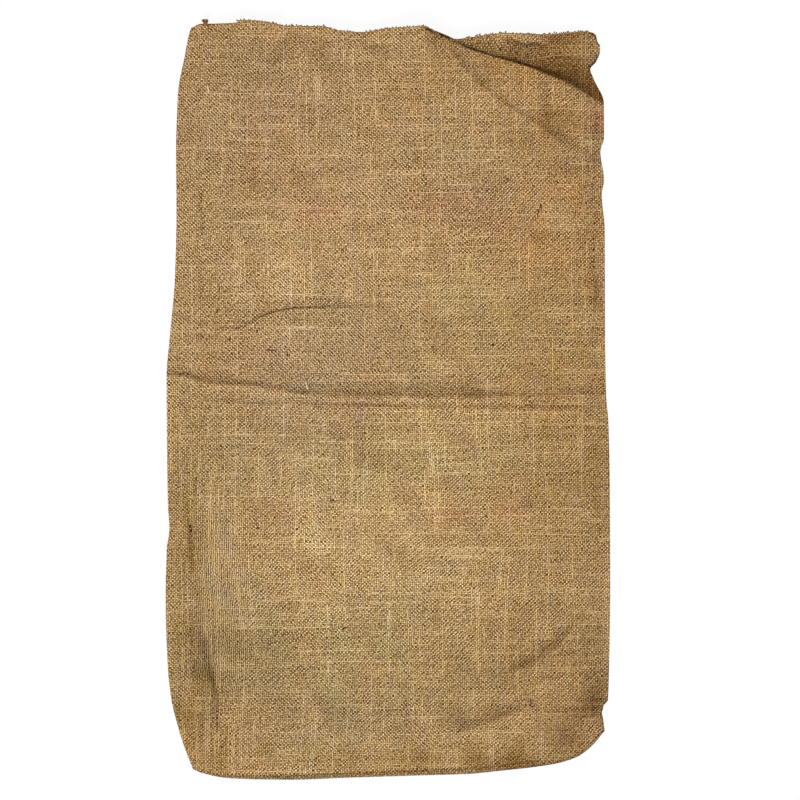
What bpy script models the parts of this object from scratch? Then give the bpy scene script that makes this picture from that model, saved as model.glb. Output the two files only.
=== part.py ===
"""An empty burlap sack, lying flat on its back with its mouth towards +Y.

The sack is one length of plain-weave jute cloth. It is folded in half along the left side (-X), sewn down the
right side (+X) and along the bottom (-Y), and open at the mouth (+Y). It is modelled as one closed body: two
layers of cloth with a hollow between them. The back layer lies flat at z = 0. The front layer stands a little
off it and carries the creases. Positions in the tables are in millimetres: across is measured from the centre
line towards +X, and up from the lowest point of the bottom seam towards the mouth.
"""

from collections import namedtuple
from math import exp, hypot

import bmesh
import bpy

MM = 0.001  # the tables and sizes below are in millimetres, the mesh is in metres

# The cloth and its seams
CLOTH_THICKNESS = 1.5
SEAM_HEIGHT = 3.2  # two layers pressed together, from the surface below to the top
SIDE_SEAM_WIDTH = 11.0  # from the right edge in to its stitches
BOTTOM_SEAM_WIDTH = 6.5  # from the bottom edge in to its stitches
FOLD_ROUNDING = 0.8  # how far the folded edges stand out at half their height
STEEPEST_DROP = 1.6  # most that a slope lengthens the way straight down through the cloth

# How the front layer stands off the back layer
CROWN_HEIGHT = 11.0  # of the front layer's middle above the pressed seams
SIDE_RUN = 85.0  # from a side edge to the crown's full height
BOTTOM_RUN = 110.0  # from the bottom seam to the crown's full height
MOUTH_RUN = 160.0  # from the mouth to the crown's full height
MOUTH_DROOP = 2.5  # how much lower the front layer lies at the mouth
SIDE_SEAM_FLAT = 9.0  # width of the right edge that stays pressed flat
BOTTOM_SEAM_FLAT = 5.0  # the same along the bottom

# The tucked fold across the mouth's right corner
TUCK_CREST = 9.0  # how far the fold's near side stands up
TUCK_DIP = 2.2  # how far the cloth beyond it lies low
TUCK_STEP = 11.0  # width of the drop from one to the other
TUCK_NEAR_REACH = 34.0  # how far the crest fades out towards the middle
TUCK_FAR_REACH = 30.0  # how far the dip fades out towards the corner

COLUMNS = 40  # strips of the front layer across the sack
SHARP_ANGLE = 0.7  # radians; edges that bend more than this are shaded as sharp

EdgePoint = namedtuple("EdgePoint", "up out")  # a point of a side edge; out is from the centre line
RimPoint = namedtuple("RimPoint", "across up")  # a point of the bottom edge or of the mouth
RowBand = namedtuple("RowBand", "until rows")  # until is a share of the sack's length, up from the bottom
Crease = namedtuple("Crease", "name height half_width route")  # a negative height is a trough
Swell = namedtuple("Swell", "height reach across up")  # a broad rise, or a dip where its height is negative

LEFT_FOLD = (
    EdgePoint(14.3, 261.0),
    EdgePoint(45.0, 273.0),
    EdgePoint(70.6, 281.0),
    EdgePoint(106.8, 289.8),
    EdgePoint(148.3, 294.5),
    EdgePoint(240.8, 297.6),
    EdgePoint(307.8, 296.2),
    EdgePoint(337.0, 292.5),
    EdgePoint(366.8, 294.5),
    EdgePoint(538.3, 296.4),
    EdgePoint(595.9, 291.8),
    EdgePoint(675.0, 285.1),
    EdgePoint(758.0, 283.1),
    EdgePoint(837.1, 283.7),
    EdgePoint(920.2, 281.0),
    EdgePoint(968.4, 272.3),
    EdgePoint(1004.0, 264.8),
    EdgePoint(1010.0, 261.5),
)

RIGHT_SEAM = (
    EdgePoint(65.3, 290.7),
    EdgePoint(80.0, 288.9),
    EdgePoint(94.7, 286.4),
    EdgePoint(106.8, 295.1),
    EdgePoint(148.3, 296.5),
    EdgePoint(251.5, 298.1),
    EdgePoint(376.1, 297.7),
    EdgePoint(476.6, 295.8),
    EdgePoint(518.2, 292.5),
    EdgePoint(612.0, 291.1),
    EdgePoint(736.6, 290.8),
    EdgePoint(783.5, 286.8),
    EdgePoint(803.6, 289.8),
    EdgePoint(841.8, 285.0),
    EdgePoint(859.9, 289.8),
    EdgePoint(906.8, 289.6),
    EdgePoint(941.0, 275.7),
    EdgePoint(952.4, 271.6),
    EdgePoint(961.8, 279.1),
    EdgePoint(976.0, 284.4),
    EdgePoint(983.2, 284.6),
    EdgePoint(989.0, 281.0),
    EdgePoint(997.0, 279.2),
    EdgePoint(1001.0, 274.5),
    EdgePoint(1002.6, 266.5),
)

BOTTOM_EDGE = (
    RimPoint(-261.0, 14.3),
    RimPoint(-248.9, 9.0),
    RimPoint(-215.4, 2.3),
    RimPoint(-171.2, 0.5),
    RimPoint(-127.0, 0.0),
    RimPoint(-65.3, 2.3),
    RimPoint(43.2, 5.8),
    RimPoint(104.9, 7.6),
    RimPoint(149.1, 11.7),
    RimPoint(220.1, 20.4),
    RimPoint(252.2, 29.6),
    RimPoint(271.0, 42.5),
    RimPoint(290.7, 65.3),
)

MOUTH_EDGE = (
    RimPoint(-263.6, 1008.0),
    RimPoint(-259.0, 1011.2),
    RimPoint(-253.0, 1012.6),
    RimPoint(-239.5, 1012.6),
    RimPoint(-200.6, 1014.2),
    RimPoint(-196.6, 1017.3),
    RimPoint(-151.0, 1012.2),
    RimPoint(-143.0, 1009.9),
    RimPoint(-88.1, 1008.6),
    RimPoint(-65.3, 1003.3),
    RimPoint(-37.2, 1000.6),
    RimPoint(7.0, 1006.6),
    RimPoint(47.2, 1008.0),
    RimPoint(84.8, 990.5),
    RimPoint(116.9, 995.2),
    RimPoint(155.8, 999.8),
    RimPoint(201.3, 997.9),
    RimPoint(266.5, 1002.6),
)

# Rows of the front layer's mesh lie closer where its creases do, and closest across the tucked fold
ROW_BANDS = (
    RowBand(0.03, 3),
    RowBand(0.20, 7),
    RowBand(0.49, 7),
    RowBand(0.55, 6),
    RowBand(0.89, 8),
    RowBand(1.0, 19),
)

TUCK_ROUTE = ((47, 1006), (86, 986), (133, 970), (188, 953), (238, 931), (290, 900))
TUCK_STRENGTH = (0.4, 0.2, 0.2, 0.35, 0.8, 0.8)  # at each point of the route

CREASES = (
    Crease("storage fold, left part", -3.2, 13, ((-300, 541), (-251, 534), (-191, 526), (-110, 520))),
    Crease("storage fold, middle part", -4.0, 15, ((-110, 520), (-20, 522), (120, 517))),
    Crease("storage fold, right part", -3.4, 12, ((120, 517), (215, 518), (300, 520))),
    Crease("ridge below the storage fold", 2.2, 13, ((60, 500), (170, 503), (290, 506))),
    Crease("arched crease", -2.2, 11, ((-215, 600), (-143, 629), (-76, 633), (5, 635))),
    Crease("ridge inside the arch", 2.2, 16, ((-190, 590), (-150, 606), (-76, 612), (0, 616))),
    Crease("trough by the left fold", -4.6, 13, ((-267, 345), (-256, 245), (-244, 180), (-224, 75))),
    Crease("ridge beside that trough", 3.0, 13, ((-222, 230), (-212, 170), (-200, 100))),
    Crease("valley to the right seam", -4.2, 13, ((96, 958), (148, 909), (210, 869), (284, 826))),
    Crease("bulge above that valley", 3.0, 30, ((165, 935), (235, 895))),
    Crease("valley above the right corner", -4.0, 14, ((262, 209), (220, 180), (171, 147))),
    Crease("ridge above the right corner", 2.6, 17, ((256, 170), (215, 140), (176, 112))),
    Crease("valley across the lower right", -2.8, 16, ((177, 100), (118, 75), (60, 98))),
    Crease("crease in the right corner", -3.0, 10, ((290, 94), (243, 93), (236, 60), (200, 34))),
    Crease("trough under the mouth, left", -2.4, 16, ((-84, 1010), (-120, 978), (-151, 950))),
    Crease("trough under the mouth, middle", -2.2, 12, ((-35, 992), (5, 982), (27, 990))),
    Crease("crease in the tucked corner", -2.2, 7, ((160, 993), (192, 985), (214, 981))),
    Crease("short crease by the left fold", -1.6, 8, ((-249, 795), (-248, 725))),
)

# Broad swells that keep the front layer uneven between its creases
SWELLS = (
    Swell(2.4, 90, -70, 300),
    Swell(2.0, 80, 110, 330),
    Swell(-1.8, 70, 205, 420),
    Swell(1.8, 80, -110, 720),
    Swell(-1.6, 60, 40, 610),
    Swell(1.6, 70, 130, 740),
    Swell(-1.4, 60, -190, 860),
    Swell(1.8, 60, -10, 900),
)


def lerp(start, end, share):
    return start + (end - start) * share


def clamp(value, low=0.0, high=1.0):
    return max(low, min(high, value))


def ease(share):
    """Goes smoothly from 0 to 1 as share does."""
    share = clamp(share)
    return share * share * (3.0 - 2.0 * share)


def read_table(table, place):
    """Reads a two-column table at a place in its first column, and holds its end values beyond its ends."""
    if place <= table[0][0]:
        return table[0][1]
    for (place_0, value_0), (place_1, value_1) in zip(table, table[1:]):
        if place <= place_1:
            return lerp(value_0, value_1, (place - place_0) / (place_1 - place_0))
    return table[-1][1]


def left_edge(up):
    return -read_table(LEFT_FOLD, up)


def right_edge(up):
    return read_table(RIGHT_SEAM, up)


def outline_spot(across_share, up_share, left_inset, right_inset, bottom_inset):
    """Across and up of a point given by its shares of the sack's width and length."""
    bottom_across = lerp(BOTTOM_EDGE[0].across, BOTTOM_EDGE[-1].across, across_share)
    mouth_across = lerp(MOUTH_EDGE[0].across, MOUTH_EDGE[-1].across, across_share)
    bottom_up = read_table(BOTTOM_EDGE, bottom_across) + bottom_inset
    up = lerp(bottom_up, read_table(MOUTH_EDGE, mouth_across), up_share)
    across = lerp(left_edge(up) + left_inset, right_edge(up) - right_inset, across_share)
    return across, up


def nearest_on_route(route, across, up):
    """Distance to a route of straight legs, the place along it in legs, and the side that the point is on."""
    best = (float("inf"), 0.0, 1.0)
    for leg, ((across_0, up_0), (across_1, up_1)) in enumerate(zip(route, route[1:])):
        run, climb = across_1 - across_0, up_1 - up_0
        share = clamp(((across - across_0) * run + (up - up_0) * climb) / (run * run + climb * climb))
        off_across = across - (across_0 + run * share)
        off_up = up - (up_0 + climb * share)
        distance = hypot(off_across, off_up)
        if distance < best[0]:
            side = 1.0 if run * off_up - climb * off_across >= 0.0 else -1.0
            best = (distance, leg + share, side)
    return best


def crease_height(crease, across, up):
    """A soft bell across the crease that fades out at both ends of its route."""
    distance, place, _ = nearest_on_route(crease.route, across, up)
    legs = len(crease.route) - 1
    ends = 0.4 + 0.6 * ease(min(place, legs - place) / 0.5)
    return crease.height * ends * exp(-((distance / crease.half_width) ** 2))


def tuck_height(across, up):
    """A crest along the fold's near side, a quick drop over it, and a dip that fades towards the corner."""
    distance, place, side = nearest_on_route(TUCK_ROUTE, across, up)
    leg = min(int(place), len(TUCK_STRENGTH) - 2)
    strength = lerp(TUCK_STRENGTH[leg], TUCK_STRENGTH[leg + 1], place - leg)
    if side < 0.0:
        return strength * TUCK_CREST * exp(-((distance / TUCK_NEAR_REACH) ** 2))
    beyond = max(distance - TUCK_STEP, 0.0)
    drop = lerp(TUCK_CREST, -TUCK_DIP, ease(distance / TUCK_STEP))
    return strength * drop * exp(-((beyond / TUCK_FAR_REACH) ** 2))


def rise(distance, run):
    """Climbs steeply from an edge and levels out after the run."""
    return 1.0 - (1.0 - clamp(distance / run)) ** 2


def front_height(across, up):
    """Height of the front layer's upper face above the surface that the sack lies on."""
    bottom_up = read_table(BOTTOM_EDGE, across)
    mouth_up = read_table(MOUTH_EDGE, across)
    lift = (
        rise(across - left_edge(up), SIDE_RUN)
        * rise(right_edge(up) - SIDE_SEAM_FLAT - across, SIDE_RUN)
        * rise(up - bottom_up - BOTTOM_SEAM_FLAT, BOTTOM_RUN)
    )
    crown = CROWN_HEIGHT - MOUTH_DROOP * (1.0 - ease((mouth_up - up) / MOUTH_RUN))
    crown += tuck_height(across, up)
    crown += sum(crease_height(crease, across, up) for crease in CREASES)
    crown += sum(
        swell.height * exp(-((across - swell.across) ** 2 + (up - swell.up) ** 2) / swell.reach**2)
        for swell in SWELLS
    )
    return SEAM_HEIGHT + lift * crown


def cloth_drop(across, up):
    """How far straight down the front layer's lower face is, to keep the cloth's thickness on a slope."""
    slope_across = (front_height(across + 1.0, up) - front_height(across - 1.0, up)) / 2.0
    slope_up = (front_height(across, up + 1.0) - front_height(across, up - 1.0)) / 2.0
    return CLOTH_THICKNESS * min(hypot(1.0, slope_across, slope_up), STEEPEST_DROP)


def row_shares():
    """Shares of the sack's length at which the rows of the front layer lie."""
    shares = [0.0]
    for band in ROW_BANDS:
        start = shares[-1]
        shares += [lerp(start, band.until, (row + 1) / band.rows) for row in range(band.rows)]
    return shares


class SackMesh:
    """Collects the sack's points and faces, and makes the closed mesh from them."""

    def __init__(self):
        self.shape = bmesh.new()

    def point(self, across, up, height):
        return self.shape.verts.new((across * MM, up * MM, height * MM))

    def strip(self, first, second):
        """Joins two lines of points with a strip of four-sided faces. A point may be in both lines."""
        for corners in zip(first, first[1:], second[1:], second):
            face = list(dict.fromkeys(corners))
            if len(face) > 2:
                self.shape.faces.new(face)

    def sheet(self, rows):
        for lower, upper in zip(rows, rows[1:]):
            self.strip(lower, upper)


def side_and_bottom(rows):
    """The edge of a sheet from the mouth down its left side, along its bottom and up its right side."""
    left = [row[0] for row in reversed(rows)]
    right = [row[-1] for row in rows]
    return left + rows[0][1:-1] + right


def make_sack_mesh():
    mesh = SackMesh()
    rows = row_shares()
    columns = [column / COLUMNS for column in range(COLUMNS + 1)]

    # The front layer's upper face
    rounded = (FOLD_ROUNDING, FOLD_ROUNDING, FOLD_ROUNDING)
    front = []
    for row in rows:
        spots = [outline_spot(column, row, *rounded) for column in columns]
        front.append([mesh.point(across, up, front_height(across, up)) for across, up in spots])
    mesh.sheet(front)

    # The rounded outer edge, from the front layer down to the back layer
    def edge_line(insets, height):
        edge_rows = [[outline_spot(column, row, *insets) for column in columns] for row in rows]
        return [mesh.point(across, up, height) for across, up in side_and_bottom(edge_rows)]

    half_way = edge_line((0.0, 0.0, 0.0), SEAM_HEIGHT / 2.0)
    resting = edge_line(rounded, 0.0)
    mesh.strip(side_and_bottom(front), half_way)
    mesh.strip(half_way, resting)

    # The hollow: the front layer's lower face, which meets the back layer at the fold and at the stitches
    stitched = (CLOTH_THICKNESS, SIDE_SEAM_WIDTH, BOTTOM_SEAM_WIDTH)
    hollow = []
    for row in rows:
        spots = [outline_spot(column, row, *stitched) for column in columns]
        line = []
        for place, (across, up) in enumerate(spots):
            sewn = row == 0.0 or place in (0, COLUMNS)
            height = CLOTH_THICKNESS if sewn else front_height(across, up) - cloth_drop(across, up)
            line.append(mesh.point(across, up, height))
        hollow.append(line)
    mesh.sheet(hollow)

    # The back layer, flat on both sides, and its edge at the mouth
    mouth = [outline_spot(column, 1.0, *stitched) for column in columns[1:-1]]
    back_mouth = [mesh.point(across, up, CLOTH_THICKNESS) for across, up in mouth]
    mesh.shape.faces.new(side_and_bottom(hollow) + back_mouth[::-1])
    under_mouth = [outline_spot(column, 1.0, *rounded) for column in columns[1:-1]]
    back_under = [mesh.point(across, up, 0.0) for across, up in under_mouth]
    mesh.shape.faces.new(resting + back_under[::-1])

    # The cut edges of both layers at the mouth
    mesh.strip(front[-1], hollow[-1])
    mesh.strip([hollow[-1][0]] + back_mouth + [hollow[-1][-1]], [resting[0]] + back_under + [resting[-1]])
    for front_end, middle, hollow_end, under in (
        (front[-1][0], half_way[0], hollow[-1][0], resting[0]),
        (front[-1][-1], half_way[-1], hollow[-1][-1], resting[-1]),
    ):
        mesh.shape.faces.new((front_end, middle, hollow_end))
        mesh.shape.faces.new((middle, under, hollow_end))

    bmesh.ops.recalc_face_normals(mesh.shape, faces=mesh.shape.faces)
    return mesh.shape


def centre_on_base(shape):
    """Moves the mesh so that its origin is the middle of its box, on the surface below."""
    for axis in (0, 1):
        places = [point.co[axis] for point in shape.verts]
        middle = (min(places) + max(places)) / 2.0
        for point in shape.verts:
            point.co[axis] -= middle


def jute_material():
    material = bpy.data.materials.new("jute")
    material.use_nodes = True
    surface = material.node_tree.nodes["Principled BSDF"]
    surface.inputs["Base Color"].default_value = (0.40, 0.25, 0.12, 1.0)
    surface.inputs["Roughness"].default_value = 0.95
    surface.inputs["Metallic"].default_value = 0.0
    return material


def build():
    for old in list(bpy.context.scene.objects):
        bpy.data.objects.remove(old, do_unlink=True)
    shape = make_sack_mesh()
    centre_on_base(shape)
    data = bpy.data.meshes.new("sack_cloth")
    shape.to_mesh(data)
    shape.free()
    data.materials.append(jute_material())
    data.shade_smooth()
    data.set_sharp_from_angle(angle=SHARP_ANGLE)
    sack = bpy.data.objects.new("sack_cloth", data)
    bpy.context.scene.collection.objects.link(sack)


build()
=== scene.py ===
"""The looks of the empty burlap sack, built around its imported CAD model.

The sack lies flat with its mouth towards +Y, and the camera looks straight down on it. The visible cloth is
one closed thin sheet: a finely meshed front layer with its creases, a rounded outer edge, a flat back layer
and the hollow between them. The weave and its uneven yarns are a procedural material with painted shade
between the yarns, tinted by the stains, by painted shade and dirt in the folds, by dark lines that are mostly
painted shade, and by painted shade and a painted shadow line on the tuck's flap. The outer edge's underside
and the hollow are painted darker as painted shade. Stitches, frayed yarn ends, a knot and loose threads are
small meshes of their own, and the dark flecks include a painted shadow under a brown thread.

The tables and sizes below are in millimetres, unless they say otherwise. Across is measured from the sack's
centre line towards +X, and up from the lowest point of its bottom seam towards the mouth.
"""

from collections import namedtuple

import bmesh
import bpy
import numpy as np
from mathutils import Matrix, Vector


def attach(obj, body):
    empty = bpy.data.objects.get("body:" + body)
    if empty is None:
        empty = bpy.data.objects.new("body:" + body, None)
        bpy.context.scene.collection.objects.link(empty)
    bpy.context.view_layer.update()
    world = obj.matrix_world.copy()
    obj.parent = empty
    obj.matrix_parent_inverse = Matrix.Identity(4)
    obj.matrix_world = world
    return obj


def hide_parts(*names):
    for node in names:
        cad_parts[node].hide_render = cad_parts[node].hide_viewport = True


MM = 0.001
FRAME_ORIGIN = (0.25, 508.3)  # across and up of the CAD model's origin

# The cloth and its seams, as in the CAD model
CLOTH_THICKNESS = 1.5
SEAM_HEIGHT = 3.2
SIDE_SEAM_WIDTH = 11.0
BOTTOM_SEAM_WIDTH = 6.5
CROWN_HEIGHT = 11.0
SIDE_RUN = 85.0
BOTTOM_RUN = 110.0
MOUTH_RUN = 160.0
MOUTH_DROOP = 2.5
SIDE_SEAM_FLAT = 9.0
BOTTOM_SEAM_FLAT = 5.0
EDGE_ROUNDING = 1.4

# The tucked fold across the mouth's right corner
TUCK_CREST = 9.0
TUCK_DIP = 2.2
TUCK_NEAR_REACH = 34.0
TUCK_FAR_REACH = 30.0
TUCK_OVERHANG = 0.5  # how far the fold's crest leans out over the dip
TUCK_UNDERCUT = 9.5  # how far the dip's near side reaches back under the crest
TUCK_LEAN_REACH = 16.0

# The cloth's mesh
EDGE_COLUMN = 1.5
MIDDLE_COLUMN = 2.9
EDGE_BAND = 16.0
COLUMN_SPAN = 580.0
COARSENESS = 4  # the hidden faces have one row and column for so many of the front's
RIM_ANGLES = (60.0, 25.0, -10.0, -50.0)  # of the rounded outer edge's lines, in degrees above its middle
RIM_PAINTED_SHADES = (0.92, 0.80, 0.62, 0.50)  # painted shade: the brightness of each of those lines, darker towards the underside
# Painted shade inside the sack: the brightness of the front layer's lower face in the hollow
HOLLOW_PAINTED_SHADE = 0.8
SLOPE_LIMIT = 1.6  # the most cloth thicknesses that a slope is high

# Painted shade and dirt, in the folds and along the dark lines, take a little less red and more blue than
# they take green
SHADE_AND_DIRT_BALANCE = (0.88, 1.0, 1.12)

# The back layer's mouth edge shows a little beside the tuck, under the front layer's edge. Each zone is where
# it starts, where it is whole, and where it starts to end and ends.
BACK_PEEK = 2.6
BACK_PEEK_ACROSS = (38.0, 52.0, 84.0, 106.0)
BACK_PEEK_ROWS = 0.03  # the share of the sack's length next to the mouth that reaches out

# Where the parts of the cloth lie on its baked picture, in shares of the picture's width
PICTURE_EDGE = 0.004
FRONT_CHART = (0.004, 0.470)
UNDER_CHART = (0.480, 0.846)
HOLLOW_CHART = (0.856, 0.914)
BACK_CHART = (0.924, 0.960)
RIM_LINES = (0.966, 0.9695, 0.973, 0.9765, 0.980, 0.9835)
FRONT_CUT_LINES = (0.987, 0.990)
BACK_CUT_LINES = (0.993, 0.996)

# The columns of the tables. A crease is a soft trough or ridge, a fold is a sharp crest or trough with
# painted shade and dirt mostly on its left side, and each dark line is painted darker, mostly as painted
# shade. Left and right are seen along the route.
Crease = namedtuple("Crease", "name height half_width route")
Fold = namedtuple("Fold", "name height left_width right_width soil route")
DarkLine = namedtuple("DarkLine", "name strength left_width right_width route")
Swell = namedtuple("Swell", "height reach across up")
Stain = namedtuple("Stain", "strength reach_across reach_up across up")
Fleck = namedtuple("Fleck", "across up length width turn")

# The outline's sides, each point as up and how far out it lies
LEFT_FOLD = (
    (14.3, 261), (45, 273), (70.6, 281), (106.8, 289.8), (148.3, 294.5), (240.8, 297.6), (307.8, 296.2),
    (337, 292.5), (366.8, 294.5), (538.3, 296.4), (595.9, 291.8), (675, 285.1), (758, 283.1),
    (837.1, 283.7), (920.2, 281), (968.4, 272.3), (1004, 264.8), (1010, 261.5),
)

RIGHT_SEAM = (
    (65.3, 290.7), (80, 288.9), (94.7, 286.4), (106.8, 295.1), (148.3, 296.5), (251.5, 298.1),
    (376.1, 297.7), (476.6, 295.8), (518.2, 292.5), (612, 291.1), (736.6, 290.8), (783.5, 286.8),
    (803.6, 289.8), (841.8, 285), (859.9, 289.8), (906.8, 289.6), (941, 275.7), (952.4, 271.6),
    (961.8, 279.1), (976, 284.4), (983.2, 284.6), (989, 281), (997, 279.2), (1001, 274.5), (1002.6, 266.5),
)

# The outline's ends, each point as across and up
BOTTOM_EDGE = (
    (-261, 14.3), (-248.9, 9), (-215.4, 2.3), (-171.2, 0.5), (-127, 0), (-65.3, 2.3), (43.2, 5.8),
    (104.9, 7.6), (149.1, 11.7), (220.1, 20.4), (252.2, 29.6), (271, 42.5), (290.7, 65.3),
)

MOUTH_EDGE = (
    (-263.6, 1008), (-259, 1011.2), (-253, 1012.6), (-239.5, 1012.6), (-200.6, 1014.2), (-196.6, 1017.3),
    (-151, 1012.2), (-143, 1009.9), (-88.1, 1008.6), (-65.3, 1003.3), (-37.2, 1000.6), (7, 1006.6),
    (47.2, 1008), (84.8, 990.5), (116.9, 995.2), (155.8, 999.8), (201.3, 997.9), (266.5, 1002.6),
)

# Rows of the front layer, closest at the bottom seam, the folds and the tuck. Each band is the length that it
# ends at and the step between its rows.
ROW_BANDS = (
    (12, 1.5), (250, 3.2), (495, 3.9), (548, 1.8), (596, 3.7), (644, 1.25), (800, 3.7), (900, 2.8),
    (1017, 1.7),
)

TUCK_ROUTE = ((47, 1006), (86, 986), (133, 970), (188, 953), (238, 931), (290, 900))
TUCK_STRENGTH = (0.4, 0.14, 0.15, 0.32, 0.80, 0.80)
TUCK_STEPS = (4.0, 4.0, 8.0, 11.0, 16.0, 22.0)  # width of the drop over the crest
TUCK_LEANS = (0.0, 0.2, 0.9, 0.9, 0.2, 0.0)  # how much of the overhang there is
# Painted shade and a painted shadow line on the tuck's flap, beside the shadow that the crest itself casts
TUCK_SHADES = (2.0, 9.0, 18.0, 26.0, 32.0, 34.0)  # width of the painted shade on the flap beyond the crest
TUCK_DEPTHS = (0.4, 0.5, 1.1, 1.65, 1.8, 1.75)  # how dark that painted shade is
TUCK_SHADE = (0.36, 0.39, 0.44)  # how much of its red, green and blue the painted shade takes away
TUCK_LINES = (0.0, 0.8, 0.8, 0.5, 0.0, 0.0)  # strength of the painted shadow line under the crest
TUCK_LINE_WIDTH = 1.4
TUCK_SHADE_START = 6.0  # how far from the crest the painted shade is whole
TUCK_MOUTH_CLEAR = 12.0  # the crest stops leaning so near the mouth

CORNER_CREASE = ((160, 993), (186, 986), (200, 987), (208, 982))
CREASE_END = 0.4  # the share of its height that a crease has at its ends
CREASE_FADE = 0.5  # how far from an end it is whole, in legs of its route
CREASES = (
    Crease("arched crease, inside", 1.4, 18, ((-190, 590), (-150, 606), (-76, 612), (0, 616))),
    Crease("dip by the left fold", -3.0, 16, ((-262, 345), (-253, 245), (-236, 170), (-222, 75))),
    Crease("bulge beyond the valley", 3.0, 30, ((165, 935), (235, 895))),
    Crease("dip above the right corner", -3.4, 15, ((262, 225), (222, 190), (168, 152))),
    Crease("swell above the right corner", 2.6, 17, ((256, 170), (215, 140), (176, 112))),
    Crease("dip across the lower right", -2.6, 18, ((190, 112), (118, 90), (50, 88))),
    Crease("dip in the right corner", -4.0, 14, ((290, 94), (248, 90), (240, 62), (208, 40))),
    Crease("trough under the mouth, left", -3.6, 13, ((-124, 1014), (-133, 1001), (-148, 982), (-166, 954))),
    Crease("short trough under the mouth", -2.4, 9, ((-82, 1010), (-85, 974))),
    Crease("trough under the mouth, middle", -2.0, 10, ((-35, 992), (5, 982), (27, 990))),
    Crease("crease in the tucked corner", -1.6, 4, CORNER_CREASE),
    Crease("short crease by the left fold", -1.8, 5, ((-249, 795), (-248, 725))),
    Crease("stitch line of the right seam", -1.3, 2.0,
           ((284, 60), (287, 400), (279, 625), (277, 712), (276, 850))),
    Crease("stitch line of the bottom seam", -1.6, 1.8,
           ((-219, 10), (-127, 6.5), (43, 12), (137, 17), (200, 25))),
)

# Sharp folds. Their left side, seen along the route, is mostly the one away from the light, and their painted
# shade and dirt lie mostly there.
FOLD_ROUNDING = 1.2
FOLD_LEAD = 0.15  # how far past its ends a fold still shows, in legs of its route
FOLD_FADE = 0.6  # the legs over which it becomes whole
FOLD_SHADE_AND_DIRT_LEFT = 0.8  # the width of its painted shade and dirt, in left widths of the fold
FOLD_SHADE_AND_DIRT_RIGHT = 0.6
FOLD_SHADE_AND_DIRT_RIGHT_LIMIT = 2.0
FOLD_SHADE_AND_DIRT_UNEVENNESS = 0.4
FOLDS = (
    Fold("storage fold, left part", 2.6, 9, 7, 0.28,
         ((-330, 543), (-272, 541), (-253, 534), (-222, 531), (-191, 528), (-165, 525), (-127, 518),
          (-102, 517))),
    Fold("storage fold, middle part", 2.9, 18, 9, 0.22,
         ((-120, 518), (-65, 515), (-20, 514), (60, 512), (130, 510))),
    Fold("storage fold, right part", 2.8, 10, 8, 0.24, ((90, 511), (170, 513), (215, 514), (330, 518))),
    Fold("second line of the storage fold", 1.9, 6, 8, 0.19,
         ((-262, 508), (-190, 504), (-120, 502), (-64, 500), (0, 499), (60, 498), (130, 497), (200, 497),
          (300, 500))),
    Fold("arched crease", 0.9, 2.2, 7, 0.16,
         ((-210, 601), (-191, 607), (-180, 614), (-164, 622), (-139, 629.5), (-104, 632.5), (-51, 633),
          (5, 634))),
    Fold("lead of the arch", 1.6, 9, 9, 0.12, ((-290, 588), (-250, 592), (-216, 590))),
    Fold("valley to the right seam", 3.4, 9, 26, 0.20,
         ((80, 984), (101, 954), (124, 928), (148, 909), (180, 889), (210, 869), (239, 849), (262, 839),
          (286, 824))),
    Fold("left streak, lower part", -2.6, 6.5, 10, 0.28,
         ((-226, 66), (-228.5, 90), (-228, 106), (-229, 120), (-235, 137), (-237, 152), (-239, 169),
          (-246, 202))),
    Fold("left streak, middle part", -1.6, 14, 14, 0.10,
         ((-234, 130), (-243, 175), (-252, 215), (-258, 250))),
    Fold("left streak, upper part", -2.0, 3.5, 4, 0.26,
         ((-254, 236), (-256, 262), (-258.5, 281), (-262, 297), (-264.5, 313), (-265.2, 352))),
    Fold("crest above the right corner", 3.8, 15, 20, 0.28,
         ((162, 142), (195, 160), (218, 174), (240, 195), (258, 221))),
    Fold("crest across the lower right", 3.2, 14, 18, 0.24,
         ((92, 64), (108, 68), (140, 80), (180, 96), (196, 104))),
)

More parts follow.
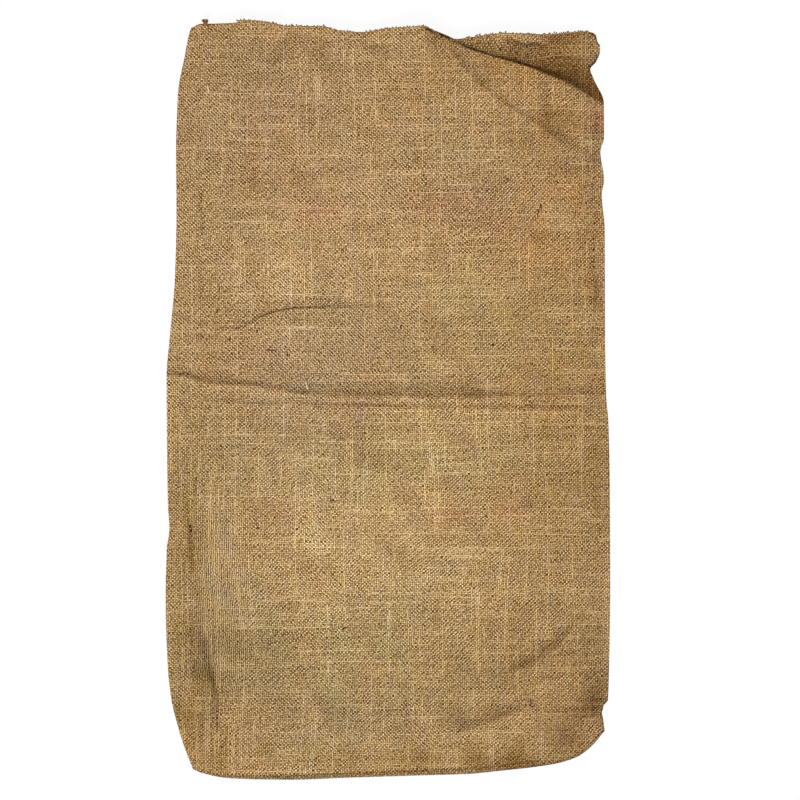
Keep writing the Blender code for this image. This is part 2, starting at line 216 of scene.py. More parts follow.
# Dark lines painted into the cloth's colour, mostly painted shade and shadow along creases, troughs, edges
# and stitches
DARK_LINES = (
    DarkLine("near layer's mouth edge beside the tuck", 0.85, 3.0, 2.2, ((52, 1006), (66, 1000), (86, 991))),
    DarkLine("crease in the tucked corner", 0.55, 1.8, 2.2, CORNER_CREASE),
    DarkLine("second crease in the tucked corner", 0.4, 1.8, 2.0, ((226, 969), (250, 966), (264, 965))),
    DarkLine("folded edge under the mouth corner", 0.25, 3.0, 3.0, ((271, 953), (290, 908))),
    DarkLine("cut edge at the mouth corner", 0.75, 2.0, 2.0, ((268, 1003), (279, 996), (281, 988))),
    DarkLine("edge under the mouth corner", 0.8, 2.2, 1.6, ((285, 974), (280, 966), (271, 953))),
    DarkLine("left streak", 0.28, 2.8, 2.6,
          ((-227, 72), (-228, 90), (-228, 106), (-229.5, 120), (-235, 137), (-238, 152))),
    DarkLine("upper left streak", 0.26, 2.4, 2.2, ((-258.5, 281), (-262, 297), (-264.5, 313), (-265.2, 348))),
    DarkLine("arched crease, left part", 0.32, 1.5, 1.5,
          ((-204, 604.5), (-190, 608.5), (-178, 616.5), (-164, 622.5))),
    DarkLine("arched crease, middle part", 0.70, 1.15, 1.15,
          ((-170, 620.8), (-155, 626.1), (-131, 631.6), (-107, 632.6), (-84, 632.5))),
    DarkLine("arched crease, right part", 0.14, 1.8, 1.8, ((-82, 633.4), (-10, 633.4))),
    DarkLine("short crease by the left fold", 0.34, 2.2, 2.2, ((-249, 786), (-249.5, 760), (-248.5, 728))),
    DarkLine("dark yarns below that crease", 0.16, 5.0, 5.0, ((-251, 690), (-249, 645))),
    DarkLine("storage fold beside the left fold", 0.22, 4.0, 3.0,
          ((-296, 545), (-270, 544), (-254, 537), (-236, 535))),
    DarkLine("crease from the left fold", 0.30, 2.4, 2.4, ((-286, 624), (-278, 620), (-266, 619))),
    DarkLine("trough under the mouth, left", 0.16, 7.0, 7.0, ((-129, 1000), (-152, 962))),
    DarkLine("short trough under the mouth", 0.14, 5.0, 5.0, ((-88, 1002), (-90, 976))),
    DarkLine("bottom edge", 0.40, 2.8, 2.8, BOTTOM_EDGE),
    DarkLine("stitch line of the bottom seam", 0.42, 1.5, 1.5,
          ((-172, 4.6), (-124, 5.8), (-98, 7.4), (-30, 10), (43, 12), (137, 17), (200, 25))),
    DarkLine("shadow beside the side stitches", 0.5, 1.7, 1.7, ((279.4, 674), (278.4, 640))),
    DarkLine("edge of the turned-in mouth", 0.35, 2.0, 1.4, ((-262, 1011), (-200, 1014))),
)

# Low swells and hollows, each as its height, its reach and the place of its middle
SWELLS = (
    (2.4, 90, -70, 300), (2, 80, 110, 330), (-1.8, 70, 205, 420), (1.8, 80, -110, 720),
    (-1.6, 60, 40, 610), (1.6, 70, 130, 740), (-1.4, 60, -190, 860), (1.8, 60, -10, 900),
)

# Each tint changes the cloth's red, green and blue by these shares, where its strength is 1
TINTS = {
    "mauve": (-0.02, -0.06, 0.06),
    "warm": (0.04, -0.02, -0.10),
    "olive": (-0.02, 0.05, -0.04),
    "straw": (0.14, 0.16, 0.16),
    "soil": (-0.22, -0.24, -0.26),
    "rust": (0.02, -0.12, -0.08),
    "ash": (-0.02, 0.02, 0.14),
    "cool": (-0.05, -0.02, 0.0),
}

# Broad soft patches of each tint, each as its strength, its reach across and up, and the place of its middle
STAINS = {
    "mauve": (
        (0.6, 85, 85, -171, 891), (0.6, 95, 32, -131, 562), (0.5, 60, 40, -40, 800),
        (0.6, 60, 45, 130, 780), (1, 28, 24, -48, 488), (0.3, 110, 110, -90, 640), (0.8, 16, 22, 284, 892),
    ),
    # Dark patches, partly dirt and partly painted shade in hollows, along the edges, under the tuck and in
    # the corners
    "soil": (
        (0.35, 24, 18, -46, 490), (0.5, 24, 70, -240, 160), (0.45, 46, 52, -250, 160),
        (0.35, 44, 60, -262, 80), (0.9, 16, 80, -276, 125), (0.35, 300, 24, 40, 30),
        (0.5, 60, 16, 150, 30), (0.85, 52, 20, 122, 956), (0.6, 40, 28, 206, 884),
        (0.3, 26, 200, -275, 860), (0.25, 70, 240, -215, 300), (0.2, 200, 60, -20, 50),
        (0.2, 60, 120, 210, 640), (0.2, 100, 80, 200, 140), (0.2, 90, 60, -210, 910),
        (0.55, 60, 46, -194, 170), (0.7, 34, 90, -252, 280), (0.55, 60, 26, -240, 28),
        (0.8, 120, 18, 150, 20), (1.25, 50, 34, 232, 54), (1.3, 26, 50, 284, 105),
        (0.5, 24, 300, 288, 450), (0.35, 40, 100, 212, 440), (0.4, 45, 45, 145, 150),
        (0.3, 170, 18, 20, 90), (0.5, 28, 80, -270, 380), (0.4, 40, 50, 250, 400),
        (0.55, 50, 50, 215, 870), (0.9, 32, 12, 218, 996), (1, 14, 34, 288, 880), (1, 26, 14, 60, 992),
        (1, 36, 22, 248, 996), (0.9, 20, 12, 118, 994), (0.5, 34, 60, -24, 420), (0.35, 44, 26, -245, 74),
        (0.65, 30, 36, 268, 88), (0.4, 22, 60, 290, 630), (0.5, 30, 30, 251, 174), (0.5, 30, 40, 285, 770),
        (0.6, 36, 32, 270, 842), (0.4, 40, 24, -104, 80), (0.35, 54, 24, -70, 600), (0.6, 7, 8, 275, 963),
    ),
    "warm": (
        (0.8, 75, 170, 214, 723), (0.5, 90, 300, 225, 420), (0.7, 60, 40, 60, 950), (1, 60, 30, 215, 965),
        (0.8, 90, 70, 210, 930), (0.5, 110, 150, 155, 130), (1, 300, 30, -50, 28),
        (0.4, 34, 140, 292, 560), (0.6, 50, 150, -275, 100), (0.6, 70, 80, -240, 335),
        (0.5, 70, 70, 130, 340), (0.4, 300, 14, -60, 1008),
    ),
    "ash": (
        (0.6, 75, 90, -125, 510), (0.4, 260, 30, -20, 40), (0.2, 190, 330, -60, 400), (2, 7, 8, 275, 963),
    ),
    "olive": (
        (0.5, 130, 48, 10, 442), (0.35, 90, 180, 220, 430), (0.5, 165, 60, -40, 160),
        (0.6, 50, 60, 110, 640), (0.4, 40, 300, -265, 250), (0.4, 260, 30, -20, 30),
        (0.3, 190, 330, -60, 400),
    ),
    "straw": (
        (0.9, 160, 48, -25, 276), (0.4, 190, 150, -20, 330), (0.7, 60, 50, -110, 320),
        (1.2, 135, 48, -30, 378), (0.3, 150, 60, -60, 700), (0.8, 60, 60, -131, 676),
        (0.6, 100, 60, -57, 775), (0.5, 90, 60, 20, 690), (0.7, 55, 24, 90, 556), (0.8, 60, 24, -100, 556),
        (0.6, 70, 30, 20, 480), (0.6, 60, 40, -90, 205), (0.4, 50, 30, -15, 150), (1.5, 28, 9, 150, 994),
        (0.9, 22, 7, 262, 975), (0.4, 24, 34, -191, 318), (0.3, 24, 34, -191, 636),
    ),
    "cool": (
        (1, 300, 200, -40, 120),
    ),
    "rust": (
        (0.9, 34, 22, -92, 760), (0.7, 26, 16, -30, 742), (0.9, 42, 18, 64, 772), (0.6, 24, 26, 150, 752),
        (0.8, 46, 14, -150, 362), (0.5, 30, 18, -60, 338), (0.8, 52, 15, 92, 352), (0.6, 26, 20, 168, 368),
        (0.5, 16, 22, 284, 892), (0.12, 60, 10, -190, 1006),
    ),
}

STAIN_UNEVENNESS = 0.3
STAIN_PATCH = 60.0

# Gentle unevenness of the whole front layer, each as its height, its wavelength and its seed
RIPPLES = ((0.55, 60.0, 3), (0.25, 26.0, 4))

# The weave. Yarns are counted from outside the cloth, so that no count is below 0.
WARP_PITCH = 2.51
WEFT_PITCH = 2.40
FIRST_WARP = 200.0
FIRST_WEFT = 40.0
YARN_DRIFT = 0.7  # how far yarns wander sideways, in yarns
YARN_DRIFT_LENGTH = 320.0
YARN_WIDTH = 0.70  # of the thinnest, in yarns
YARN_SLUBS = 0.46  # how much wider the thickest is
GAP_HEIGHT = -0.6  # of the gaps between yarns, where the top of a yarn is 1

# Zones of the weave, by the counts at which each starts, is whole, starts to end and ends. Warp yarns beside
# the left streak are bunched, and low down they are ribbed.
BUNCHED_WARPS = (84.0, 92.0, 106.0, 136.0)
BUNCHED_WEFTS_END = (190.0, 235.0)
RIBBED_WARPS = (96.0, 101.0, 114.0, 132.0)
RIBBED_WEFTS = (84.0, 104.0, 172.0, 200.0)
PALE_WARPS = (105.0, 108.0, 110.0)  # single pale yarns beside the streak
PALE_WARPS_WEFTS = (50.0, 58.0, 180.0, 215.0)
RIGHT_WARPS_START = (205.0, 235.0)
UPPER_WEFTS_START = (220.0, 260.0)

# Noise along a yarn: how far apart neighbouring yarns are in it, and its bumps for each crossing
YARN_STEP = 5.618
SLUB_STEP = 7.31
SLUB_PACE = 0.12
PALE_PACE = 0.011
WARP_TONE_PACE = 0.03
WEFT_TONE_PACE = 0.022

# Yarns whose random number is above these ranges are pale and lie straight on top
PALE_WARP_FROM = (0.645, 0.67)
PALE_WEFT_FROM = (0.63, 0.655)
BUNCHED_PALE = 0.09  # what the bunched zone adds to that number of its warp yarns

# How much a yarn's tone varies along its length
WEFT_TONE = 0.78
WARP_TONE = 0.32
BUNCHED_TONE = 0.5  # what the bunched zone adds for its warp yarns

# How strongly, and which way, a slanted painted highlight crosses each float
HIGHLIGHT_TILT_RANDOM = 2.5
HIGHLIGHT_TILT_UPPER_LEFT = -0.5
HIGHLIGHT_TILT_RIGHT = 0.2

# The weave's shade, and how much each feature of it adds
SHADE_LEVEL = 0.133
# The height term is painted shade: darker in the gaps and on the yarns' flanks, lighter on their tops
SHADE_HEIGHT = 1.22
SHADE_HEIGHT_MIDDLE = 0.35  # the height that adds nothing
SHADE_FIBRE = 2.15
SHADE_PATCH = 0.10
# Warp yarns on top are lighter than weft yarns on top, partly their own tone and partly painted light
SHADE_WARP = 0.39
SHADE_PALE_YARN = 0.13
SHADE_CROSSING = 0.16
SHADE_CHEQUER = 0.22
# A slanted painted highlight across each float
SHADE_SLANT = 0.48
# Painted shade in the gaps between the ribbed warp yarns
SHADE_RIBS = 0.44
SHADE_PALE_WARPS = 0.34

# The colour for each shade, from the painted shade in the gaps between yarns to the palest fibres
JUTE_COLOURS = (
    (0.00, (0.036, 0.010, 0.001)),
    (0.25, (0.138, 0.056, 0.007)),
    (0.50, (0.350, 0.195, 0.066)),
    (0.75, (0.600, 0.380, 0.168)),
    (1.00, (0.870, 0.615, 0.338)),
)

# The warmer, plain and cooler cloth that patches of it drift between
HUE_TINTS = ((0.3, (1.015, 0.985, 0.96)), (0.5, (1.0, 1.0, 1.0)), (0.7, (0.98, 1.015, 1.015)))

WEAVE_DEPTH = 0.0006  # of the weave's bump, in metres
STRAND_DEPTH = 0.0003

# The dark and the pale colour of each kind of yarn and thread
STRAND_COLOURS = {
    "jute_yarn": ((0.14, 0.075, 0.024), (0.56, 0.40, 0.22)),
    "seam_thread": ((0.10, 0.05, 0.018), (0.44, 0.29, 0.15)),
    "brown_thread": ((0.08, 0.035, 0.012), (0.42, 0.23, 0.11)),
    "pale_slub": ((0.66, 0.47, 0.27), (0.92, 0.74, 0.50)),
    "husk_and_shade": ((0.012, 0.006, 0.002), (0.10, 0.05, 0.018)),
}

# Frayed yarn ends at the mouth, right of the stretch whose edge is turned in
FRAY_START = -199.0
FRAY_END = 268.0
FRAY_LENGTHS = (0.5, 1.3, 2.0, 3.0)
FRAY_CHANCES = (0.32, 0.36, 0.25, 0.07)  # of those lengths
FRAY_ROOT = 1.5  # how far a yarn end starts inside the edge
FRAY_WIDTHS = (1.8, 2.6)

# The bent yarn end where the turned-in edge stops, each point as across, up and the height above the cloth
CORNER_HOOK = ((-202.0, 1009.5, 0.3), (-200.5, 1013.5, 0.6), (-197.5, 1016.5, 0.5), (-194.0, 1015.5, 0.3))
HOOK_WIDTH = 2.0

# Sewing
STITCH_RISE = 0.45  # above the cloth
SUNK = -0.7  # where a side stitch or a frayed yarn end goes into the cloth
SIDE_STITCH_INSET = 13.5  # from the right edge in to the visible stitches
SIDE_STITCH_START = 624.0
SIDE_STITCH_END = 714.0
SIDE_STITCH_LENGTH = 5.2
SIDE_STITCH_GAP = 1.4
BOTTOM_STITCH_START = -215.0
BOTTOM_STITCH_END = 140.0
BOTTOM_STITCH_STEP = 4.4
BOTTOM_STITCH_SUNK = -0.5

# The knot at the mouth's left end
KNOT_ACROSS = -244.5
KNOT_UP = 1015.5
KNOT_HEIGHT = 5.2
KNOT_SIZE = 3.6
KNOT_THREAD = 2.4  # width of its thread
KNOT_TAIL = ((6.0, -8.0, 0.3), (3.0, -5.0, 0.7))  # from the knot's middle, and the height above the cloth
KNOT_TAIL_WIDTHS = (0.9, 1.1, 1.2)

# Loose threads. Each point is across, up and the height above the cloth.
BROWN_THREAD_WIDTH = 1.1
PALE_THREAD_WIDTH = 2.6
PALE_THREAD_ENDS = 1.4
BROWN_THREADS = (
    ((-163, 574.5, 0.2), (-159, 575.5, 0.6), (-154, 574.6, 0.5), (-149, 574.8, 0.2)),
    ((190, 107, 0.2), (192, 104, 0.8), (189.5, 101, 0.8), (192, 98.5, 0.6), (195, 99, 0.2)),
    ((-77, 376, 0.2), (-74, 374, 0.7), (-70, 373, 0.4), (-66, 374, 0.2)),
)
PALE_THREADS = (
    ((-110, 537, 0.0), (-109, 532, 0.5), (-108, 527, 0.6), (-107, 523, 0.0)),
    ((-242, 933, 0.0), (-240.5, 928, 0.7), (-239, 920, 0.2)),
    ((-244, 961, 0.0), (-241.8, 959.5, 0.8), (-239.5, 959, 0.0)),
)

# Dark bits of husk, small holes in the weave drawn as dark marks that paint the shade seen through them, and
# one painted shadow under a brown thread, each as its place, its length, its width and its turn from +X in
# degrees
FLECKS = (
    (202, 758, 15, 2.2, 80), (205, 768, 8, 2, 100), (-264.2, 340, 4.6, 3.2, 100),
    (-262.8, 333.8, 5, 3.8, 60), (160, 803.5, 4, 2.4, 20), (48.5, 809, 3.6, 2, 60), (-104, 771, 3.2, 2, 0),
    (-160, 758, 3, 2, 40), (160, 644, 4, 2.2, 10), (18, 608, 3.6, 2.4, 70), (35, 584, 3.4, 2, 20),
    # The long thin fleck at -156 across and 574.2 up is a painted shadow under a brown thread
    (141, 582, 3.4, 2, 50), (-107, 588, 3, 2, 30), (-134, 569, 4.2, 2.6, 70), (-156, 574.2, 12, 1.8, 2),
    (-224.8, 657, 7, 1.8, 92), (-227.4, 628, 8, 2, 62), (-210.5, 590, 6, 2.2, 78), (-91, 418, 3.2, 2, 60),
    (-75, 373.5, 7, 2.2, 15), (129, 362.7, 3.4, 2.4, 0), (131.6, 353.3, 3.6, 2.4, 45),
    (-222, 43.8, 3.6, 2.8, 0), (-174, 337, 5, 2.2, 10), (-121.6, 336, 5, 2.2, 0), (160, 278, 3.4, 2, 30),
    (-58, 203, 9, 1.8, 25), (-151, 103, 3.2, 2, 0), (267, 135, 3.8, 2.6, 20), (276, 710, 5, 3.4, 40),
    (275.2, 693, 5, 1.5, 4), (275.4, 687, 5, 1.6, 6),
)

# Light, floor and camera. The floor's size and the camera's place are in metres.
KEY_DIRECTION = (-0.24, -0.76, 0.60)  # towards the lamp
KEY_STRENGTH = 3.1
KEY_SPREAD = 0.35  # radians
AMBIENT_STRENGTH = 0.42
FLOOR_SIZE = 24.0
FLOOR_GREY = 0.06
FLOOR_GLOW = 0.94
CAMERA_PLACE = (0.0162, 0.0005, 5.9567)
CAMERA_LENS = 200.0
CAMERA_SENSOR = 36.0


def ease(share):
    share = np.clip(share, 0.0, 1.0)
    return share * share * (3.0 - 2.0 * share)


def lerp(start, end, share):
    """Goes from start to end as the share goes from 0 to 1. A Value of a node graph works too."""
    return start + (end - start) * share


def bell(share):
    """1 where the share is 0, and less on both sides of it: 0.37 where it is 1."""
    return np.exp(-(share**2))


def read_smooth(table, at):
    """Reads a two-column table as a smooth curve through its points that never overshoots them."""
    places = np.array([row[0] for row in table])
    values = np.array([row[1] for row in table])
    steps = np.diff(places)
    slopes = np.diff(values) / steps
    tangents = np.zeros(len(places))
    tangents[0], tangents[-1] = slopes[0], slopes[-1]
    for place in range(1, len(steps)):
        before, after = slopes[place - 1], slopes[place]
        if before * after > 0.0:
            tangents[place] = 2.0 * before * after / (before + after)
    at = np.clip(at, places[0], places[-1])
    leg = np.clip(np.searchsorted(places, at) - 1, 0, len(steps) - 1)
    share = (at - places[leg]) / steps[leg]
    start = values[leg] * (1.0 + 2.0 * share) * (1.0 - share) ** 2
    end = values[leg + 1] * share**2 * (3.0 - 2.0 * share)
    lead_out = tangents[leg] * share * (1.0 - share) ** 2
    lead_in = tangents[leg + 1] * share**2 * (share - 1.0)
    return start + end + steps[leg] * (lead_out + lead_in)


def ripple(across, up, wavelength, seed, waves=14):
    """A smooth random field of about unit size, made of plane waves in all directions."""
    random = np.random.default_rng(seed)
    total = np.zeros(np.broadcast(across, up).shape)
    for _ in range(waves):
        angle = random.uniform(0.0, 2.0 * np.pi)
        length = wavelength * random.uniform(0.7, 1.6)
        phase = random.uniform(0.0, 2.0 * np.pi)
        run = (across * np.cos(angle) + up * np.sin(angle)) * 2.0 * np.pi / length
        total = total + np.sin(run + phase)
    return total * np.sqrt(2.0 / waves)


def left_edge(up):
    return -read_smooth(LEFT_FOLD, up)


def right_edge(up):
    return read_smooth(RIGHT_SEAM, up)


def nearest_on_route(route, across, up):
    """Distance to a route of straight legs, the place along it in legs, and the side each point is on."""
    nearest = np.full(across.shape, np.inf)
    place = np.zeros(across.shape)
    side = np.ones(across.shape)
    for leg, ((across_0, up_0), (across_1, up_1)) in enumerate(zip(route, route[1:])):
        run, climb = across_1 - across_0, up_1 - up_0
        share = np.clip(((across - across_0) * run + (up - up_0) * climb) / (run**2 + climb**2), 0.0, 1.0)
        off_across = across - (across_0 + run * share)
        off_up = up - (up_0 + climb * share)
        distance = np.hypot(off_across, off_up)
        closer = distance < nearest
        nearest = np.where(closer, distance, nearest)
        place = np.where(closer, leg + share, place)
        side = np.where(closer, np.where(run * off_up - climb * off_across >= 0.0, 1.0, -1.0), side)
    return nearest, place, side


def crease_height(crease, across, up):
    distance, place, _ = nearest_on_route(crease.route, across, up)
    legs = len(crease.route) - 1
    ends = lerp(CREASE_END, 1.0, ease(np.minimum(place, legs - place) / CREASE_FADE))
    return crease.height * ends * bell(distance / crease.half_width)


def beside_fold(fold, across, up):
    """Distance to a fold, the side each point is on, and a share that fades out at both ends of its route."""
    distance, place, side = nearest_on_route(fold.route, across, up)
    legs = len(fold.route) - 1
    return distance, side, ease((np.minimum(place, legs - place) + FOLD_LEAD) / FOLD_FADE)


def fold_height(fold, across, up):
    """A crest that falls off at its own pace on either side."""
    distance, side, ends = beside_fold(fold, across, up)
    width = np.where(side > 0.0, fold.left_width, fold.right_width)
    rounded = np.hypot(distance, FOLD_ROUNDING) - FOLD_ROUNDING
    return fold.height * ends * np.exp(-rounded / width)


def along_tuck(values, place):
    return np.interp(place, np.arange(len(values)), values)


def tuck_height(across, up):
    distance, place, side = nearest_on_route(TUCK_ROUTE, across, up)
    crest = TUCK_CREST * bell(distance / TUCK_NEAR_REACH)
    step = along_tuck(TUCK_STEPS, place)
    beyond = np.maximum(distance - step, 0.0)
    drop = lerp(TUCK_CREST, -TUCK_DIP, ease(distance / step)) * bell(beyond / TUCK_FAR_REACH)
    return along_tuck(TUCK_STRENGTH, place) * np.where(side < 0.0, crest, drop)


def tuck_lean(across, up):
    """How far each point moves across the tuck's route, so that its crest hangs over its dip."""
    distance, place, side = nearest_on_route(TUCK_ROUTE, across, up)
    signed = distance * side
    over = TUCK_OVERHANG * bell(np.minimum(signed, 0.0) / TUCK_LEAN_REACH)
    step = along_tuck(TUCK_STEPS, place)
    under = lerp(TUCK_OVERHANG, -TUCK_UNDERCUT, ease(signed / step))
    back = bell(np.maximum(signed - step, 0.0) / TUCK_LEAN_REACH)
    lean = along_tuck(TUCK_LEANS, place) * np.where(signed < 0.0, over, under * back)
    clear = read_smooth(MOUTH_EDGE, across) - up
    ends = ease(clear / TUCK_MOUTH_CLEAR)
    run, climb = TUCK_ROUTE[-1][0] - TUCK_ROUTE[0][0], TUCK_ROUTE[-1][1] - TUCK_ROUTE[0][1]
    length = np.hypot(run, climb)
    return -climb / length * lean * ends, run / length * lean * ends


def rise(distance, run):
    return 1.0 - (1.0 - np.clip(distance / run, 0.0, 1.0)) ** 2


def front_height(across, up):
    """Height of the front layer's upper face above the surface that the sack lies on."""
    lift = (
        rise(across - left_edge(up), SIDE_RUN)
        * rise(right_edge(up) - SIDE_SEAM_FLAT - across, SIDE_RUN)
        * rise(up - read_smooth(BOTTOM_EDGE, across) - BOTTOM_SEAM_FLAT, BOTTOM_RUN)
    )
    crown = CROWN_HEIGHT - MOUTH_DROOP * (1.0 - ease((read_smooth(MOUTH_EDGE, across) - up) / MOUTH_RUN))
    crown = crown + tuck_height(across, up)
    for crease in CREASES:
        crown = crown + crease_height(crease, across, up)
    for fold in FOLDS:
        crown = crown + fold_height(fold, across, up)
    for swell in (Swell(*row) for row in SWELLS):
        distance = np.hypot(across - swell.across, up - swell.up)
        crown = crown + swell.height * bell(distance / swell.reach)
    for height, wavelength, seed in RIPPLES:
        crown = crown + height * ripple(across, up, wavelength, seed)
    return SEAM_HEIGHT + lift * crown


def weave_place(across, up):
    """The counts of the warp and weft yarns that cross at each point, from the left and from the bottom."""
    warp = across / WARP_PITCH + YARN_DRIFT * ripple(across, up, YARN_DRIFT_LENGTH, seed=11)
    weft = up / WEFT_PITCH + YARN_DRIFT * ripple(across, up, YARN_DRIFT_LENGTH, seed=12)
    return warp + FIRST_WARP, weft + FIRST_WEFT


def uneven_share(across, up):
    """A random share from 0 to 2 at each point, by which stains are stronger or weaker there."""
    return np.clip(1.0 + STAIN_UNEVENNESS * ripple(across, up, STAIN_PATCH, seed=31), 0.0, 2.0)


def stain_colour(across, up):
    """Red, green and blue factors of the broad stains at each point, some of them painted shade."""
    factors = np.ones((*across.shape, 3))
    uneven = uneven_share(across, up)
    for tint, rows in STAINS.items():
        for stain in (Stain(*row) for row in rows):
            soft = bell((across - stain.across) / stain.reach_across) * bell((up - stain.up) / stain.reach_up)
            share = stain.strength * uneven * soft
            factors = factors + share[..., None] * np.array(TINTS[tint])
    return factors


def soil(factors, share):
    """The factors of cloth that is darkened by a share at each point, as painted shade and dirt."""
    return factors * (1.0 - share[..., None] * np.array(SHADE_AND_DIRT_BALANCE))


def crease_shade_and_dirt(across, up):
    """Red, green and blue factors of painted shade on the tuck, the dark lines and the folds, and of fold
    dirt.
    """
    # Painted shade and a painted shadow line on the tuck's flap beyond the crest
    distance, place, side = nearest_on_route(TUCK_ROUTE, across, up)
    beyond = distance - along_tuck(TUCK_STEPS, place)
    on_flap = np.where(side > 0.0, ease(distance / TUCK_SHADE_START), 0.0)
    reach = np.maximum(beyond, 0.0) / along_tuck(TUCK_SHADES, place)
    shade = on_flap * along_tuck(TUCK_DEPTHS, place) * bell(reach)
    line = on_flap * along_tuck(TUCK_LINES, place) * bell(beyond / TUCK_LINE_WIDTH)
    factors = (1.0 - shade[..., None] * np.array(TUCK_SHADE)) * (1.0 - line[..., None])
    for dark_line in DARK_LINES:
        distance, _, side = nearest_on_route(dark_line.route, across, up)
        width = np.where(side > 0.0, dark_line.left_width, dark_line.right_width)
        factors = soil(factors, dark_line.strength * bell(distance / width))
    uneven = lerp(1.0, uneven_share(across, up), FOLD_SHADE_AND_DIRT_UNEVENNESS)
    for fold in FOLDS:
        distance, side, ends = beside_fold(fold, across, up)
        right_width = min(FOLD_SHADE_AND_DIRT_RIGHT_LIMIT, fold.left_width * FOLD_SHADE_AND_DIRT_RIGHT)
        width = np.where(side > 0.0, fold.left_width * FOLD_SHADE_AND_DIRT_LEFT, right_width)
        factors = soil(factors, fold.soil * uneven * ends * bell(distance / width))
    return factors


def column_shares():
    """Shares of the sack's width at which the front layer's columns lie, closest at the sides."""
    places = [0.0]
    while places[-1] < COLUMN_SPAN:
        from_side = min(places[-1], COLUMN_SPAN - places[-1])
        places.append(places[-1] + lerp(EDGE_COLUMN, MIDDLE_COLUMN, float(ease(from_side / EDGE_BAND / 2.0))))
    while (len(places) - 1) % COARSENESS:
        places.append(places[-1] + EDGE_COLUMN)
    return np.array(places) / places[-1]


def row_shares():
    """Shares of the sack's length at which the front layer's rows lie."""
    places = [0.0]
    for until, step in ROW_BANDS:
        while places[-1] < until:
            places.append(places[-1] + step)
    while (len(places) - 1) % COARSENESS:
        places.append(places[-1] + step)
    return np.array(places) / places[-1]


def outline_grid(columns, rows, left_inset, right_inset, bottom_inset):
    """Across and up of a grid of points inside the outline, as two arrays of rows by columns."""
    columns, rows = columns[None, :], rows[:, None]
    bottom_across = lerp(BOTTOM_EDGE[0][0], BOTTOM_EDGE[-1][0], columns)
    mouth_across = lerp(MOUTH_EDGE[0][0], MOUTH_EDGE[-1][0], columns)
    bottom_up = read_smooth(BOTTOM_EDGE, bottom_across) + bottom_inset
    up = lerp(bottom_up, read_smooth(MOUTH_EDGE, mouth_across), rows)
    across = lerp(left_edge(up) + left_inset, right_edge(up) - right_inset, columns)
    return across, up


def border(grid):
    """The edge of a grid from the mouth down its left side, along its bottom and up its right side."""
    return np.concatenate([grid[::-1, 0], grid[0, 1:-1], grid[:, -1]])


def picture_grid(chart, columns, rows):
    """Places on the baked picture of a grid of points, from the left to the right of a chart."""
    across, up = np.meshgrid(lerp(*chart, columns), lerp(PICTURE_EDGE, 1.0 - PICTURE_EDGE, rows))
    return np.stack([across, up], axis=-1)


def picture_line(place, line):
    """Places on the baked picture of a line of points, which runs from its bottom to its top."""
    return picture_grid((place, place), np.zeros(1), np.linspace(0.0, 1.0, len(line)))[:, 0]


def place_piece(name, data, material):
    """Puts a mesh into the scene, smooth and with its material."""
    data.materials.append(material)
    data.shade_smooth()
    piece = bpy.data.objects.new(name, data)
    bpy.context.scene.collection.objects.link(piece)
    return piece


class ClothMesh:
    """Collects the cloth's points with their places in the weave, and its faces."""

    def __init__(self):
        self.points = []
        self.weave = []
        self.tints = []
        self.faces = []
        self.picture = []

    def add(self, across, up, height, weave, tint):
        """Adds an array of points and returns their numbers in an array of the same shape."""
        shape = across.shape
        first = len(self.points)
        height = np.broadcast_to(height, shape)
        spots = np.stack([across - FRAME_ORIGIN[0], up - FRAME_ORIGIN[1], height], axis=-1) * MM
        self.points.extend(spots.reshape(-1, 3).tolist())
        self.weave.extend(np.stack(weave, axis=-1).reshape(-1, 2).tolist())
        self.tints.extend(tint.reshape(-1, 3).tolist())
        return np.arange(first, first + across.size).reshape(shape)

    def strip(self, first, second, first_picture, second_picture):
        """Joins two lines of points. The first may have several steps for each step of the second."""
        ratio = (len(first) - 1) // (len(second) - 1)
        for step in range(len(second) - 1):
            fine = slice(step * ratio, (step + 1) * ratio + 1)
            coarse = [step + 1, step]
            self.faces.append([*first[fine].tolist(), *second[coarse].tolist()])
            self.picture.extend([*first_picture[fine].tolist(), *second_picture[coarse].tolist()])

    def seam(self, first, second, places):
        """Joins two lines of points that lie at two places on the baked picture."""
        self.strip(first, second, picture_line(places[0], first), picture_line(places[1], second))

    def sheet(self, grid, picture):
        for row in range(len(grid) - 1):
            self.strip(grid[row], grid[row + 1], picture[row], picture[row + 1])

    def make(self, name, material):
        data = bpy.data.meshes.new(name)
        data.from_pydata(self.points, [], self.faces)
        picture = data.uv_layers.new(name="OFBake")
        picture.data.foreach_set("uv", np.array(self.picture, dtype=np.float32).ravel())
        shape = bmesh.new()
        shape.from_mesh(data)
        bmesh.ops.recalc_face_normals(shape, faces=shape.faces)
        shape.to_mesh(data)
        shape.free()
        corners = np.empty(len(data.loops), dtype=np.int32)
        data.loops.foreach_get("vertex_index", corners)
        weave = data.uv_layers.new(name="weave")
        weave.data.foreach_set("uv", np.array(self.weave)[corners].astype(np.float32).ravel())
        stain = data.attributes.new("stain", "FLOAT_VECTOR", "POINT")
        stain.data.foreach_set("vector", np.array(self.tints, dtype=np.float32).ravel())
        return place_piece(name, data, material)


def front_layer(columns, rows, insets):
    """Across, up, weave place, stains and painted shade of a grid of front layer points, with the tuck's
    overhang.
    """
    across, up = outline_grid(columns, rows, *insets)
    lean_across, lean_up = tuck_lean(across, up)
    tint = stain_colour(across, up) * crease_shade_and_dirt(across, up)
    return across + lean_across, up + lean_up, weave_place(across, up), tint


